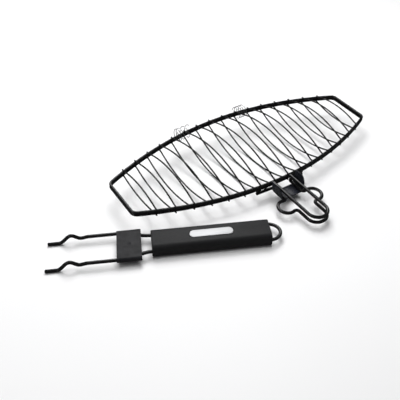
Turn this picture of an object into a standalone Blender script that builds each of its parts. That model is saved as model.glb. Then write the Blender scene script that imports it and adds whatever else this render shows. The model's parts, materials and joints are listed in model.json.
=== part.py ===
"""Fish grill basket with a clip-on handle.

Two bowed wire halves are hinged by a pair of loose coils along the far side and
close onto each other. Each half carries a wire bail on the near side. The loose
handle clips over the bails, and a plate slides along its prongs to lock it.

Run it with Blender: it clears the scene and builds the collection "grill_basket".
Lengths are in metres. The basket's own frame has X along the basket, Y from the
bails to the hinge and Z = 0 in the plane of the bottom frame's wire centre. The
handle's own frame has X from the prong tips to the hanging loop and Z = 0 at the
surface that it lies on.
"""

import math

import bmesh
import bpy

MM = 0.001
GAP = 0.3 * MM  # clearance kept between neighbouring solids

# Basket outline: two side arcs, two short ends, four rounded corners.
HALF_LENGTH = 190.0 * MM
MID_HALF_WIDTH = 74.4 * MM
END_HALF_WIDTH = 30.7 * MM
CORNER_RADIUS = 5.5 * MM
FRAME_RADIUS = 1.8 * MM
LID_LIFT = 2 * FRAME_RADIUS + GAP

# Cross wires: their pitch, and how far each half bows away from its frame.
CROSS_WIRES = 16
WIRE_PITCH = 22.0 * MM
CROSS_RADIUS = 1.0 * MM
CROSS_TIP = 2.0 * MM  # how far a wire's end stands past the frame's centre line
CROSS_PAD = 2.5 * MM  # straight part inside the frame, before the bow begins
CROSSING = FRAME_RADIUS + CROSS_RADIUS + GAP
LID_BOW_END, LID_BOW_MID = 2.9 * MM, 17.2 * MM
BOTTOM_BOW_END, BOTTOM_BOW_MID = 0.6 * MM, 18.0 * MM

# Bails: both are bent from the same rod, one in each half.
ROD_RADIUS = 2.1 * MM
BAIL_HALF_GAP = 13.5 * MM
BAIL_TIP = 155.0 * MM
UPPER_TIP_RADIUS = 13.2 * MM
LOWER_TIP_RADIUS = 12.5 * MM
LOWER_BAIL_DROP = FRAME_RADIUS + ROD_RADIUS + GAP
FOOT_DROP = CROSSING + CROSS_RADIUS + GAP + ROD_RADIUS
FOOT_REACH = 38.0 * MM
FOOT_BEND = 6.0 * MM
LOBE_CENTRE = (21.5 * MM, 113.0 * MM)
LOBE_RADIUS = 11.0 * MM
LOBE_BLEND = 4.0 * MM

# Latch bracket: a folded sheet under the lower bail, with an ear on each side.
BRACKET_SHEET = 1.2 * MM
BRACKET_HALF_WIDTH = 16.5 * MM
BRACKET_FOLD = 2.0 * MM
BRACKET_INNER, BRACKET_OUTER = 81.0 * MM, 99.5 * MM
EAR_INNER, EAR_TOP_OUTER = 79.0 * MM, 91.0 * MM
EAR_TOP = 12.0 * MM
EAR_FLARE = 4.0 * MM

# Hinge: the lid turns about the bottom frame's farthest point; the coils hold it there.
COIL_WIRE_RADIUS = 0.5 * MM
COIL_RADIUS = 8.6 * MM
COIL_STEPS = 16  # points in each turn
LEFT_COIL_START = -66.2 * MM
LEFT_COIL_PITCHES = (3.5 * MM, 3.6 * MM, 8.0 * MM, 7.1 * MM)  # wide where a cross wire passes
LEFT_COIL_CENTRE = (MID_HALF_WIDTH + 0.2 * MM, 1.35 * MM)
LEFT_COIL_ANGLE = math.radians(104)  # keeps that wide turn clear of the cross wires' sweep
RIGHT_COIL_START = 36.2 * MM
RIGHT_COIL_PITCHES = (4.0 * MM,) * 4
RIGHT_COIL_CENTRE = (MID_HALF_WIDTH + 0.5 * MM, 1.7 * MM)
RIGHT_COIL_ANGLE = 0.0

# Handle: one bent rod, a moulded grip, a badge and the sliding lock plate.
PRONG_HALF_GAP = 21.4 * MM
GRIP_HALF_GAP = 13.3 * MM
PRONG_FLAT = 13.0 * MM
HUMP_AT, HUMP_HEIGHT = 28.0 * MM, 12.3 * MM
VALLEY_AT, VALLEY_HEIGHT = 39.0 * MM, 7.3 * MM
STRAIGHT_AT = 48.0 * MM
JOG_START, JOG_END = 84.0 * MM, 119.0 * MM
LOOP_END = 270.6 * MM
GRIP_START, GRIP_END = 119.4 * MM, 258.0 * MM
GRIP_HALF_WIDTH = 16.4 * MM
GRIP_HEIGHT = 17.3 * MM
GRIP_CORNER = 6.0 * MM
GRIP_RIM = 1.2 * MM
BADGE_AT = 189.0 * MM
BADGE_LENGTH, BADGE_WIDTH, BADGE_THICKNESS = 51.0 * MM, 11.5 * MM, 0.8 * MM
POCKET_DEPTH = 0.6 * MM
PLATE_START, PLATE_END = 79.8 * MM, 108.0 * MM
PLATE_SHEET = 0.9 * MM
PLATE_CURL = ROD_RADIUS + GAP + PLATE_SHEET / 2
DIMPLE_SPHERE, DIMPLE_DEPTH = 5.0 * MM, 0.6 * MM

# Where the two loose items lie, before the set is centred over the origin.
BASKET_LEAN = math.radians(4.0)  # the basket rolls on its bow until the bail side is low
HANDLE_AT = (-297.4 * MM, -20.0 * MM)
HANDLE_TURN = math.radians(-26.3)

SIDEWAYS = (math.radians(90), 0.0, math.radians(90))  # a flat outline's X, Y, Z become Y, Z, X


# ---------------------------------------------------------------- geometry rules


def half_width(x):
    """Half the basket's width at x, measured to the frame's wire centre."""
    return END_HALF_WIDTH + (MID_HALF_WIDTH - END_HALF_WIDTH) * (1 - (x / HALF_LENGTH) ** 2)


def smoothstep(t):
    """Eases from 0 to 1 with no slope at either end."""
    return t * t * (3 - 2 * t)


def arc(centre, radius, first, last, steps):
    """Points on a flat arc between two angles in degrees, both ends included."""
    angles = (math.radians(first + (last - first) * i / steps) for i in range(steps + 1))
    return [(centre[0] + radius * math.cos(a), centre[1] + radius * math.sin(a)) for a in angles]


def bend(before, corner, after, steps):
    """Points of a smooth bend that leaves the corner out, both ends included."""
    points = []
    for i in range(steps + 1):
        t = i / steps
        weights = ((1 - t) ** 2, 2 * t * (1 - t), t**2)
        points.append(tuple(
            sum(weight * point[k] for weight, point in zip(weights, (before, corner, after)))
            for k in (0, 1)
        ))
    return points


def frame_quarter(steps=12):
    """A quarter of the frame's outline, from the middle of a side to the middle of an end."""
    side_end = HALF_LENGTH - CORNER_RADIUS
    side = [(side_end * i / steps, half_width(side_end * i / steps)) for i in range(steps)]
    corner = bend(
        (side_end, half_width(side_end)),
        (HALF_LENGTH, half_width(HALF_LENGTH)),
        (HALF_LENGTH, half_width(HALF_LENGTH) - CORNER_RADIUS),
        4,
    )
    return side + corner


def frame_points(z):
    """The closed outline of one frame, counter-clockwise from the far side's middle."""
    quarter = frame_quarter()
    far_right = [(x, y) for x, y in reversed(quarter)]
    far_left = [(-x, y) for x, y in quarter[1:]]
    near_left = [(-x, -y) for x, y in reversed(quarter)]
    near_right = [(x, -y) for x, y in quarter[1:]]
    return [(x, y, z) for x, y in far_right + far_left + near_left + near_right]


def cross_wire_points(x, crossing, bow, steps=10):
    """One cross wire: straight pads at the frame and a bow between them."""
    reach = half_width(x) - CROSS_PAD
    tip = half_width(x) + CROSS_TIP
    rows = [(-reach + 2 * reach * i / steps) for i in range(steps + 1)]
    arch = [(x, y, crossing + bow * (1 - (y / reach) ** 2)) for y in rows]
    return [(x, -tip, crossing)] + arch + [(x, tip, crossing)]


def bow_at(x, end, middle):
    """How far a half bows away from its frame at x."""
    return end + (middle - end) * (1 - (x / HALF_LENGTH) ** 2)


def mirrored(half):
    """Adds the other half of a path that ends on the X = 0 plane or beside it."""
    return half + [(-x, y, z) for x, y, z in reversed(half)]


def upper_bail_points():
    """A hairpin in the lid frame's plane, butted against the frame's outer side."""
    root = half_width(BAIL_HALF_GAP) + FRAME_RADIUS + GAP
    centre = (BAIL_HALF_GAP - UPPER_TIP_RADIUS, -BAIL_TIP + UPPER_TIP_RADIUS)
    half = [(BAIL_HALF_GAP, -root)] + arc(centre, UPPER_TIP_RADIUS, 0, -90, 6)
    return mirrored([(x, y, LID_LIFT) for x, y in half])


def lower_bail_points():
    """The lower bail: feet under the frame, legs, side lobes and a rounded tip."""
    foot_y = half_width(BAIL_HALF_GAP + FOOT_BEND)
    foot = [(x, -half_width(x)) for x in (FOOT_REACH, (FOOT_REACH + BAIL_HALF_GAP + FOOT_BEND) / 2)]
    turn = arc((BAIL_HALF_GAP + FOOT_BEND, -foot_y - FOOT_BEND), FOOT_BEND, 90, 180, 5)
    side = BAIL_HALF_GAP + LOBE_BLEND
    rise = math.sqrt((LOBE_RADIUS + LOBE_BLEND) ** 2 - (LOBE_CENTRE[0] - side) ** 2)
    lean = math.degrees(math.atan2(rise, side - LOBE_CENTRE[0]))
    inner = arc((side, -LOBE_CENTRE[1] + rise), LOBE_BLEND, 180, 180 + lean, 4)
    lobe = arc((LOBE_CENTRE[0], -LOBE_CENTRE[1]), LOBE_RADIUS, lean, -lean, 12)
    outer = arc((side, -LOBE_CENTRE[1] - rise), LOBE_BLEND, 180 - lean, 180, 4)
    centre = (BAIL_HALF_GAP - LOWER_TIP_RADIUS, -BAIL_TIP + LOWER_TIP_RADIUS)
    tip = arc(centre, LOWER_TIP_RADIUS, 0, -90, 5)
    feet = [(x, y, -FOOT_DROP) for x, y in foot]
    for i, (x, y) in enumerate(turn):
        ease = smoothstep(i / (len(turn) - 1))
        feet.append((x, y, -FOOT_DROP + (FOOT_DROP - LOWER_BAIL_DROP) * ease))
    flat = inner + lobe[1:-1] + outer + tip
    return mirrored(feet + [(x, y, -LOWER_BAIL_DROP) for x, y in flat])


def bracket_section():
    """Half of the folded sheet's section (x, z), from the middle of the web to the ear's top."""
    web = LOWER_BAIL_DROP + ROD_RADIUS + GAP + BRACKET_SHEET / 2
    fold_centre = (BRACKET_HALF_WIDTH - BRACKET_FOLD, -web + BRACKET_FOLD)
    over = EAR_TOP + 2 * BRACKET_SHEET
    return [(0.0, -web)] + arc(fold_centre, BRACKET_FOLD, -90, 0, 4) + [
        (BRACKET_HALF_WIDTH + EAR_FLARE, over)
    ]


def bracket_outline():
    """The bracket's side view (y, z), which trims the folded sheet."""
    below = -2 * LOWER_BAIL_DROP - ROD_RADIUS
    shoulder = -LOWER_BAIL_DROP
    edge = bend((-BRACKET_OUTER, shoulder), (-BRACKET_OUTER + MM, 0.7 * EAR_TOP), (-EAR_TOP_OUTER, EAR_TOP), 8)
    return [
        (-EAR_INNER, EAR_TOP),
        (-EAR_INNER, shoulder),
        (-BRACKET_INNER, shoulder - BRACKET_FOLD),
        (-BRACKET_INNER, below),
        (-BRACKET_OUTER, below),
    ] + edge


def coil_points(start, pitches, centre, first_angle):
    """A coil about a line along X: one pitch for each turn."""
    points = []
    reached = start
    for turn, pitch in enumerate(pitches):
        for step in range(COIL_STEPS):
            angle = first_angle + 2 * math.pi * (turn + step / COIL_STEPS)
            x = reached + pitch * step / COIL_STEPS
            y = centre[0] + COIL_RADIUS * math.cos(angle)
            points.append((x, y, centre[1] + COIL_RADIUS * math.sin(angle)))
        reached += pitch
    return points


def prong_profile():
    """Places along a prong with the wire's height there: flat tip, hump, valley, straight."""
    height = GRIP_HEIGHT / 2
    knots = [
        (0.0, ROD_RADIUS),
        (PRONG_FLAT, ROD_RADIUS),
        (HUMP_AT, HUMP_HEIGHT),
        (VALLEY_AT, VALLEY_HEIGHT),
        (STRAIGHT_AT, height),
    ]
    profile = [knots[0]]
    for (u0, z0), (u1, z1) in zip(knots[1:], knots[2:]):
        for i in range(5):
            t = i / 5
            profile.append((u0 + (u1 - u0) * t, z0 + (z1 - z0) * smoothstep(t)))
    return profile + [(STRAIGHT_AT, height)]


def handle_points():
    """The handle's rod, from one prong tip round the hanging loop to the other."""
    height = GRIP_HEIGHT / 2
    half = [(u, PRONG_HALF_GAP, z) for u, z in prong_profile()]
    for i in range(9):
        t = i / 8
        side = PRONG_HALF_GAP + (GRIP_HALF_GAP - PRONG_HALF_GAP) * smoothstep(t)
        half.append((JOG_START + (JOG_END - JOG_START) * t, side, height))
    loop = arc((LOOP_END - GRIP_HALF_GAP, 0.0), GRIP_HALF_GAP, 90, -90, 14)
    return half + [(u, v, height) for u, v in loop] + [(u, -v, z) for u, v, z in reversed(half)]


def rounded_rectangle(half_across, low, high, radius, steps=6):
    """An outline with four equal round corners, counter-clockwise."""
    corners = [
        ((half_across - radius, low + radius), -90),
        ((half_across - radius, high - radius), 0),
        ((-half_across + radius, high - radius), 90),
        ((-half_across + radius, low + radius), 180),
    ]
    outline = []
    for centre, first in corners:
        outline += arc(centre, radius, first, first + 90, steps)
    return outline


def stadium(length, width, steps=8):
    """An outline with two half-round ends, along X."""
    straight = (length - width) / 2
    right = arc((straight, 0.0), width / 2, -90, 90, steps)
    return right + [(-x, -y) for x, y in right]


def plate_section():
    """The lock plate's section (v, z about the rod centres): a flat top, both edges curled."""
    curl = arc((PRONG_HALF_GAP, 0.0), PLATE_CURL, -90, 90, 8)
    return curl + [(-v, z) for v, z in reversed(curl)]


# ---------------------------------------------------------------- building blocks


def clear_scene():
    """Removes whatever the scene holds."""
    for obj in list(bpy.data.objects):
        bpy.data.objects.remove(obj, do_unlink=True)


def new_collection(name):
    """Adds an empty collection to the scene."""
    collection = bpy.data.collections.new(name)
    bpy.context.scene.collection.children.link(collection)
    return collection


def finish(name, colour, roughness, metallic, coat=0.0):
    """A plain Principled material."""
    material = bpy.data.materials.new(name)
    material.use_nodes = True
    shader = material.node_tree.nodes["Principled BSDF"]
    shader.inputs["Base Color"].default_value = (*colour, 1.0)
    shader.inputs["Roughness"].default_value = roughness
    shader.inputs["Metallic"].default_value = metallic
    shader.inputs["Coat Weight"].default_value = coat
    material.diffuse_color = (*colour, 1.0)
    return material


def place(name, data, collection, parent, location=(0, 0, 0), rotation=(0, 0, 0)):
    """Adds an object under a parent, placed in the parent's frame."""
    obj = bpy.data.objects.new(name, data)
    collection.objects.link(obj)
    obj.parent = parent
    obj.location = location
    obj.rotation_euler = rotation
    return obj


def wire(name, points, radius, collection, parent, material=None, closed=False, location=(0, 0, 0)):
    """A round wire through the points, as a poly curve with filled ends."""
    curve = bpy.data.curves.new(name, "CURVE")
    curve.dimensions = "3D"
    curve.bevel_depth = radius
    curve.bevel_resolution = 2
    curve.use_fill_caps = not closed
    spline = curve.splines.new("POLY")
    spline.points.add(len(points) - 1)
    for point, position in zip(spline.points, points):
        point.co = (*position, 1.0)
    spline.use_cyclic_u = closed
    spline.use_smooth = True
    if material:
        curve.materials.append(material)
    return place(name, curve, collection, parent, location)


def slab(name, outline, thickness, collection, parent, material=None, location=(0, 0, 0), rotation=(0, 0, 0)):
    """A flat outline given a thickness, centred on its plane, as a filled curve."""
    curve = bpy.data.curves.new(name, "CURVE")
    curve.dimensions = "2D"
    curve.fill_mode = "BOTH"
    curve.extrude = thickness / 2
    spline = curve.splines.new("POLY")
    spline.points.add(len(outline) - 1)
    for point, position in zip(spline.points, outline):
        point.co = (*position, 0.0, 1.0)
    spline.use_cyclic_u = True
    if material:
        curve.materials.append(material)
    return place(name, curve, collection, parent, location, rotation)


def as_mesh(curve_object):
    """Replaces a curve object by a mesh with welded caps, in the same place."""
    bpy.context.view_layer.update()
    graph = bpy.context.evaluated_depsgraph_get()
    mesh = bpy.data.meshes.new_from_object(curve_object.evaluated_get(graph))
    shell = bmesh.new()
    shell.from_mesh(mesh)
    bmesh.ops.remove_doubles(shell, verts=shell.verts, dist=1e-6)
    bmesh.ops.recalc_face_normals(shell, faces=shell.faces)
    shell.to_mesh(mesh)
    shell.free()
    name, collection = curve_object.name, curve_object.users_collection[0]
    parent, location = curve_object.parent, curve_object.location.copy()
    rotation = curve_object.rotation_euler.copy()
    bpy.data.objects.remove(curve_object, do_unlink=True)
    return place(name, mesh, collection, parent, location, rotation)


def as_cutter(obj):
    """Hides a helper that only shapes another object."""
    obj.hide_render = True
    obj.display_type = "WIRE"
    return obj


def combine(obj, other, operation):
    """Shapes an object with another by an exact Boolean."""
    modifier = obj.modifiers.new(other.name, "BOOLEAN")
    modifier.object = other
    modifier.operation = operation
    modifier.solver = "EXACT"


def ribbon(name, section, span, thickness, collection, parent, material, location, rotation):
    """A sheet folded to a section (local X, Y), extruded along local Z and given its thickness."""
    sheet = bmesh.new()
    row = [sheet.verts.new((x, y, -span / 2)) for x, y in section]
    edges = [sheet.edges.new(pair) for pair in zip(row, row[1:])]
    grown = bmesh.ops.extrude_edge_only(sheet, edges=edges)
    lifted = [item for item in grown["geom"] if isinstance(item, bmesh.types.BMVert)]
    bmesh.ops.translate(sheet, verts=lifted, vec=(0, 0, span))
    bmesh.ops.recalc_face_normals(sheet, faces=sheet.faces)
    mesh = bpy.data.meshes.new(name)
    sheet.to_mesh(mesh)
    sheet.free()
    mesh.materials.append(material)
    obj = place(name, mesh, collection, parent, location, rotation)
    solidify = obj.modifiers.new("thickness", "SOLIDIFY")
    solidify.thickness = thickness
    solidify.offset = 0.0
    solidify.use_even_offset = True
    return obj


# ---------------------------------------------------------------- the sub-parts


def build_frames(parts, basket, lid, on_lid):
    """The two outline frames, one lying on the other."""
    enamel = finish("frame_enamel", (0.012, 0.012, 0.013), 0.25, 0.0, 0.6)
    wire("bottom_frame", frame_points(0.0), FRAME_RADIUS, parts, basket, enamel, closed=True)
    wire("lid_frame", frame_points(LID_LIFT), FRAME_RADIUS, parts, lid, enamel, True, on_lid)


def build_cross_wires(parts, basket, lid, on_lid):
    """Sixteen bowed wires under the bottom frame and sixteen on the lid frame."""
    enamel = finish("cross_wire_enamel", (0.014, 0.014, 0.015), 0.28, 0.0, 0.5)
    for number in range(1, CROSS_WIRES + 1):
        x = (number - (CROSS_WIRES + 1) / 2) * WIRE_PITCH
        low = cross_wire_points(x, -CROSSING, -bow_at(x, BOTTOM_BOW_END, BOTTOM_BOW_MID))
        high = cross_wire_points(x, LID_LIFT + CROSSING, bow_at(x, LID_BOW_END, LID_BOW_MID))
        wire(f"bottom_wire_{number:02d}", low, CROSS_RADIUS, parts, basket, enamel)
        wire(f"lid_wire_{number:02d}", high, CROSS_RADIUS, parts, lid, enamel, False, on_lid)


def build_bails(parts, basket, lid, on_lid):
    """The lid's hairpin bail and the lobed bail under the bottom frame."""
    enamel = finish("bail_enamel", (0.012, 0.012, 0.013), 0.2, 0.0, 0.7)
    wire("upper_bail", upper_bail_points(), ROD_RADIUS, parts, lid, enamel, False, on_lid)
    wire("lower_bail", lower_bail_points(), ROD_RADIUS, parts, basket, enamel)


def build_bracket(parts, cutters, basket):
    """The folded latch bracket: a channel trimmed to its side view."""
    paint = finish("bracket_paint", (0.02, 0.022, 0.03), 0.35, 0.0, 0.3)
    half = bracket_section()
    section = [(-x, z) for x, z in reversed(half[1:])] + half
    middle = -(EAR_INNER + BRACKET_OUTER) / 2
    upright = (math.radians(90), 0.0, 0.0)
    bracket = ribbon(
        "latch_bracket", section, BRACKET_OUTER - EAR_INNER + 4 * MM, BRACKET_SHEET,
        parts, basket, paint, (0.0, middle, 0.0), upright,
    )
    width = 2 * (BRACKET_HALF_WIDTH + EAR_FLARE + 4 * MM)
    trim = slab("bracket_trim", bracket_outline(), width, cutters, basket, rotation=SIDEWAYS)
    combine(bracket, as_cutter(as_mesh(trim)), "INTERSECT")


def build_hinge_coils(parts, basket):
    """Two loose coils that wrap both frames along the far side."""
    chrome = finish("hinge_chrome", (0.8, 0.8, 0.82), 0.12, 1.0)
    left = coil_points(LEFT_COIL_START, LEFT_COIL_PITCHES, LEFT_COIL_CENTRE, LEFT_COIL_ANGLE)
    right = coil_points(RIGHT_COIL_START, RIGHT_COIL_PITCHES, RIGHT_COIL_CENTRE, RIGHT_COIL_ANGLE)
    wire("hinge_coil_left", left, COIL_WIRE_RADIUS, parts, basket, chrome)
    wire("hinge_coil_right", right, COIL_WIRE_RADIUS, parts, basket, chrome)


def build_handle(parts, cutters, handle):
    """The bent rod, the grip moulded over it and the badge set in the grip's top."""
    enamel = finish("handle_enamel", (0.012, 0.012, 0.013), 0.22, 0.0, 0.6)
    plastic = finish("grip_plastic", (0.035, 0.036, 0.038), 0.55, 0.0)
    silver = finish("badge_silver", (0.75, 0.76, 0.78), 0.25, 1.0)
    wire("handle_wire", handle_points(), ROD_RADIUS, parts, handle, enamel)

    outline = rounded_rectangle(GRIP_HALF_WIDTH, 0.0, GRIP_HEIGHT, GRIP_CORNER)
    middle = ((GRIP_START + GRIP_END) / 2, 0.0, 0.0)
    length = GRIP_END - GRIP_START
    grip = as_mesh(slab("grip", outline, length, parts, handle, plastic, middle, SIDEWAYS))
    rim = grip.modifiers.new("rim", "BEVEL")
    rim.width = GRIP_RIM
    rim.segments = 2
    rim.limit_method = "ANGLE"
    rim.angle_limit = math.radians(60)
    tunnel = wire("rod_tunnel", handle_points(), ROD_RADIUS + GAP, cutters, handle)
    combine(grip, as_cutter(as_mesh(tunnel)), "DIFFERENCE")
    pocket = slab(
        "badge_pocket", stadium(BADGE_LENGTH + 2 * GAP, BADGE_WIDTH + 2 * GAP), 2 * POCKET_DEPTH,
        cutters, handle, location=(BADGE_AT, 0.0, GRIP_HEIGHT),
    )
    combine(grip, as_cutter(as_mesh(pocket)), "DIFFERENCE")

    floor = GRIP_HEIGHT - POCKET_DEPTH + GAP
    slab(
        "badge", stadium(BADGE_LENGTH, BADGE_WIDTH), BADGE_THICKNESS, parts, handle, silver,
        (BADGE_AT, 0.0, floor + BADGE_THICKNESS / 2),
    )


def build_lock_plate(parts, cutters, handle):
    """The sliding plate whose edges curl round both prongs, with a thumb dimple."""
    satin = finish("plate_satin", (0.03, 0.03, 0.032), 0.4, 0.2)
    middle = (PLATE_START + PLATE_END) / 2
    centre = (middle, 0.0, GRIP_HEIGHT / 2)
    plate = ribbon(
        "lock_plate", plate_section(), PLATE_END - PLATE_START, PLATE_SHEET,
        parts, handle, satin, centre, SIDEWAYS,
    )
    top = GRIP_HEIGHT / 2 + PLATE_CURL + PLATE_SHEET / 2
    ball = bmesh.new()
    bmesh.ops.create_uvsphere(ball, u_segments=20, v_segments=16, radius=DIMPLE_SPHERE)
    mesh = bpy.data.meshes.new("dimple_ball")
    ball.to_mesh(mesh)
    ball.free()
    dimple = place(
        "dimple_ball", mesh, cutters, handle, (middle, 0.0, top + DIMPLE_SPHERE - DIMPLE_DEPTH)
    )
    combine(plate, as_cutter(dimple), "DIFFERENCE")


def shade_smooth(parts):
    """Smooth shading on the round mesh pieces; the wires are smooth already."""
    for obj in parts.objects:
        if obj.type == "MESH":
            obj.data.shade_smooth()
            obj.data.set_sharp_from_angle(angle=math.radians(35))


def stand_on_floor(parts, roots):
    """Sets each root down on z = 0, then centres the whole set over the origin."""
    corners = {root: [] for root in roots}
    bpy.context.view_layer.update()
    graph = bpy.context.evaluated_depsgraph_get()
    for obj in parts.objects:
        if obj.type == "EMPTY":
            continue
        root = obj
        while root.parent:
            root = root.parent
        evaluated = obj.evaluated_get(graph)
        mesh = evaluated.to_mesh()
        corners[root] += [evaluated.matrix_world @ vertex.co for vertex in mesh.vertices]
        evaluated.to_mesh_clear()
    for root, points in corners.items():
        root.location.z -= min(point.z for point in points)
    every = [point for points in corners.values() for point in points]
    for axis in (0, 1):
        middle = (min(p[axis] for p in every) + max(p[axis] for p in every)) / 2
        for root in roots:
            root.location[axis] -= middle
    bpy.context.view_layer.update()


def main():
    """Builds every sub-part and stands the set on the floor."""
    clear_scene()
    parts = new_collection("grill_basket")
    cutters = new_collection("cutters")

    basket = place("basket_root", None, parts, None, rotation=(BASKET_LEAN, 0.0, 0.0))
    lid = place("lid_hinge", None, parts, basket, (0.0, MID_HALF_WIDTH, 0.0))
    handle = place("handle_root", None, parts, None, (*HANDLE_AT, 0.0), (0.0, 0.0, HANDLE_TURN))
    on_lid = (0.0, -MID_HALF_WIDTH, 0.0)

    build_frames(parts, basket, lid, on_lid)
    build_cross_wires(parts, basket, lid, on_lid)
    build_bails(parts, basket, lid, on_lid)
    build_bracket(parts, cutters, basket)
    build_hinge_coils(parts, basket)
    build_handle(parts, cutters, handle)
    build_lock_plate(parts, cutters, handle)
    shade_smooth(parts)
    stand_on_floor(parts, (basket, handle))


if __name__ == "__main__":
    main()
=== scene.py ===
"""Looks of the fish grill basket: enamelled wire, rod and sheet, chrome coils, a moulded grip.

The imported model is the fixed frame. Every fine piece is modelled in one of two local frames
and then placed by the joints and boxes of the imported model: the basket's own frame has X along
the basket, Y from the bails to the hinge and Z = 0 in the bottom frame's wire plane; the
handle's has X from the prong tips to the hanging loop and Z = 0 on the surface it lies on.
"""

import json
import logging
import math
import random
from dataclasses import dataclass
from enum import Enum
from typing import Optional, Sequence

import bmesh
import bpy
from mathutils import Matrix, Vector


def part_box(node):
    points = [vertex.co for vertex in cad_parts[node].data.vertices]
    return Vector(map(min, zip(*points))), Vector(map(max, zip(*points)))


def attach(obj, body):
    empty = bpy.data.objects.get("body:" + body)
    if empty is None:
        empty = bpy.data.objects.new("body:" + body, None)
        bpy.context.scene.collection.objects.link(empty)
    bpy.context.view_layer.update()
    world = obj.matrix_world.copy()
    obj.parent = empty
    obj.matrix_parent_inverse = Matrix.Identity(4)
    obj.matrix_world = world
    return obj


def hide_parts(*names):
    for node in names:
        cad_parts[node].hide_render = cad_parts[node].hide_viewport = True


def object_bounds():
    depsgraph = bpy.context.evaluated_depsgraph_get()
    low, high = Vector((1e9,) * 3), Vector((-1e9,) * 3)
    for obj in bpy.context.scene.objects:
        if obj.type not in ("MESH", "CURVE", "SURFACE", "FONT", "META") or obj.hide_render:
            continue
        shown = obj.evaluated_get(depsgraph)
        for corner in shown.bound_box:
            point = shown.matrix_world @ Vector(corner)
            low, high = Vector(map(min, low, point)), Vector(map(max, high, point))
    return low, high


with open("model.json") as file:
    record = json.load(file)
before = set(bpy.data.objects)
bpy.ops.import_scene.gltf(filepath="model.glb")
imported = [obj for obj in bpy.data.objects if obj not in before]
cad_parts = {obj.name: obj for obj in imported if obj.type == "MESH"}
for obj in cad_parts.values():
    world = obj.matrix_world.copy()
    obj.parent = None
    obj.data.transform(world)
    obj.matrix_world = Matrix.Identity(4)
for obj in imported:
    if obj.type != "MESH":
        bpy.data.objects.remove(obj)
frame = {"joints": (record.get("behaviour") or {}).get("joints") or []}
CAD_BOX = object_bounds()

LOG = logging.getLogger("grill_basket")
MM = 0.001
GAP = 0.3 * MM
SEED = 41
SHARP_ANGLE = math.radians(60)
NEAR_ZERO = 1e-6
Point2 = tuple[float, float]
Colour = tuple[float, float, float]
Socket = bpy.types.NodeSocket


class Body(Enum):
    """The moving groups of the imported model."""

    BOTTOM = "bottom_half"
    LID = "lid"
    HANDLE = "handle"
    LOCK = "lock"


class Slot(Enum):
    """The record's material slots."""

    FRAME = "frame_enamel"
    WIRE = "wire_enamel"
    ROD = "rod_enamel"
    BRACKET = "bracket_paint"
    CHROME = "hinge_chrome"
    GRIP = "grip_plastic"
    BADGE = "badge_silver"
    PLATE = "plate_satin"


# ---------------------------------------------------------------- paths and outlines


def smoothstep(t: float) -> float:
    """Eases from 0 to 1 with no slope at either end."""
    return t * t * (3 - 2 * t)


def arc(centre: Point2, radius: float, first: float, last: float, steps: int) -> list[Point2]:
    """Points on a flat arc, both ends included.

    Args:
        centre: The arc's centre.
        radius: Its radius in metres.
        first: The angle it starts at, in degrees.
        last: The angle it ends at, in degrees.
        steps: How many equal steps lie between them.

    Returns:
        The points, in order.
    """
    angles = (math.radians(first + (last - first) * i / steps) for i in range(steps + 1))
    return [(centre[0] + radius * math.cos(a), centre[1] + radius * math.sin(a)) for a in angles]


def bend(before: Point2, corner: Point2, after: Point2, steps: int) -> list[Point2]:
    """Points of a smooth bend that leaves a corner out.

    Args:
        before: Where the bend starts.
        corner: The corner that it rounds off.
        after: Where it ends.
        steps: How many steps lie between the ends.

    Returns:
        The points, both ends included.
    """
    points = []
    for i in range(steps + 1):
        t = i / steps
        weights = ((1 - t) ** 2, 2 * t * (1 - t), t**2)
        corners = (before, corner, after)
        points.append(tuple(sum(w * p[k] for w, p in zip(weights, corners)) for k in (0, 1)))
    return points


def run(first: Point2, last: Point2, steps: int) -> list[Point2]:
    """Points along a straight stretch.

    Args:
        first: Where it starts.
        last: Where it ends.
        steps: How many equal steps lie between them.

    Returns:
        The points, the last one left out.
    """
    return [
        tuple(a + (b - a) * i / steps for a, b in zip(first, last)) for i in range(steps)
    ]


def lifted(flat: Sequence[Point2], z: float) -> list[Vector]:
    """A flat path raised to a height."""
    return [Vector((x, y, z)) for x, y in flat]


def with_mirror(half: Sequence[Vector]) -> list[Vector]:
    """A path that ends beside the X = 0 plane, followed by its mirror image."""
    return list(half) + [Vector((-p.x, p.y, p.z)) for p in reversed(half)]


# ---------------------------------------------------------------- swept bars


def stations(path: Sequence[Vector], closed: bool) -> list[Matrix]:
    """Placements along a path, with local Z along it and no twist between neighbours.

    Args:
        path: The points of the path.
        closed: Whether the last point joins the first.

    Returns:
        One matrix for each point.
    """
    count = len(path)
    tangents = []
    for i, point in enumerate(path):
        before = path[i - 1] if closed or i else point
        after = path[(i + 1) % count] if closed or i < count - 1 else point
        tangents.append((after - before).normalized())
    normal = tangents[0].orthogonal().normalized()
    placed = []
    for i, (point, tangent) in enumerate(zip(path, tangents)):
        if i:
            normal = tangents[i - 1].rotation_difference(tangent) @ normal
        side = tangent.cross(normal).normalized()
        normal = side.cross(tangent)
        matrix = Matrix((normal, side, tangent)).transposed().to_4x4()
        matrix.translation = point
        placed.append(matrix)
    return placed


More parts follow.
